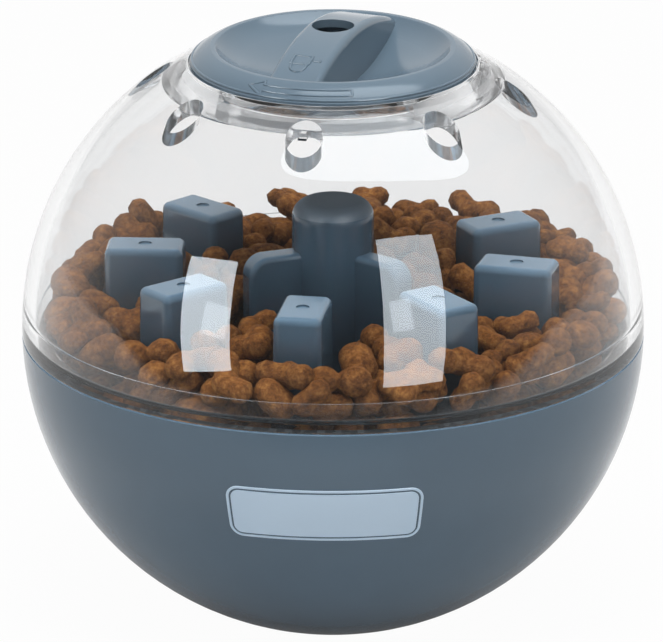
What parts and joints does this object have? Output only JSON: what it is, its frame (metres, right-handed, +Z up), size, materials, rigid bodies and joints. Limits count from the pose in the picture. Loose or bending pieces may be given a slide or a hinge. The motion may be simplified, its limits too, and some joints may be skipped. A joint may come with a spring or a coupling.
{
  "type": "treat dispensing toy",
  "caption": "Round weighted pet ball with a clear dome, outlet holes, a peg maze tray and a twist-lock cap, which drops food as the pet rolls it.",
  "frame": {"origin": "middle of the flat foot, on the surface that the ball stands on", "axes": "+Z up the ball's axis through the cap; -Y towards the viewer, with one outlet and one peg on -Y"},
  "size_m": [0.14, 0.14, 0.1381],
  "materials": {
    "grey_plastic": "satin grey-blue moulding",
    "clear_plastic": "polished clear moulding",
    "silicone": "matt silicone",
    "steel": "zinc plated"
  },
  "bodies": {
    "base": {"base_shell": "grey_plastic", "counterweight": "steel", "weight_screws": "steel", "maze_tray": "grey_plastic", "tray_screws": "steel"},
    "seam_seal": {"seam_seal": "silicone"},
    "dome": {"dome": "clear_plastic"},
    "cap_seal": {"cap_seal": "silicone"},
    "cap": {"cap": "grey_plastic"}
  },
  "joints": [
    {"name": "dome_lift", "type": "slide", "parent": "base", "child": "seam_seal", "axis": [0, 0, 1], "range_m": [0, 0.09]},
    {"name": "dome_twist", "type": "hinge", "parent": "seam_seal", "child": "dome", "pos_m": [0, 0, 0.06605], "axis": [0, 0, 1], "range_deg": [-30, 0]},
    {"name": "cap_lift", "type": "slide", "parent": "dome", "child": "cap_seal", "axis": [0, 0, 1], "range_m": [0, 0.04]},
    {"name": "cap_twist", "type": "hinge", "parent": "cap_seal", "child": "cap", "pos_m": [0, 0, 0.12865], "axis": [0, 0, 1], "range_deg": [-45, 0]}
  ]
}
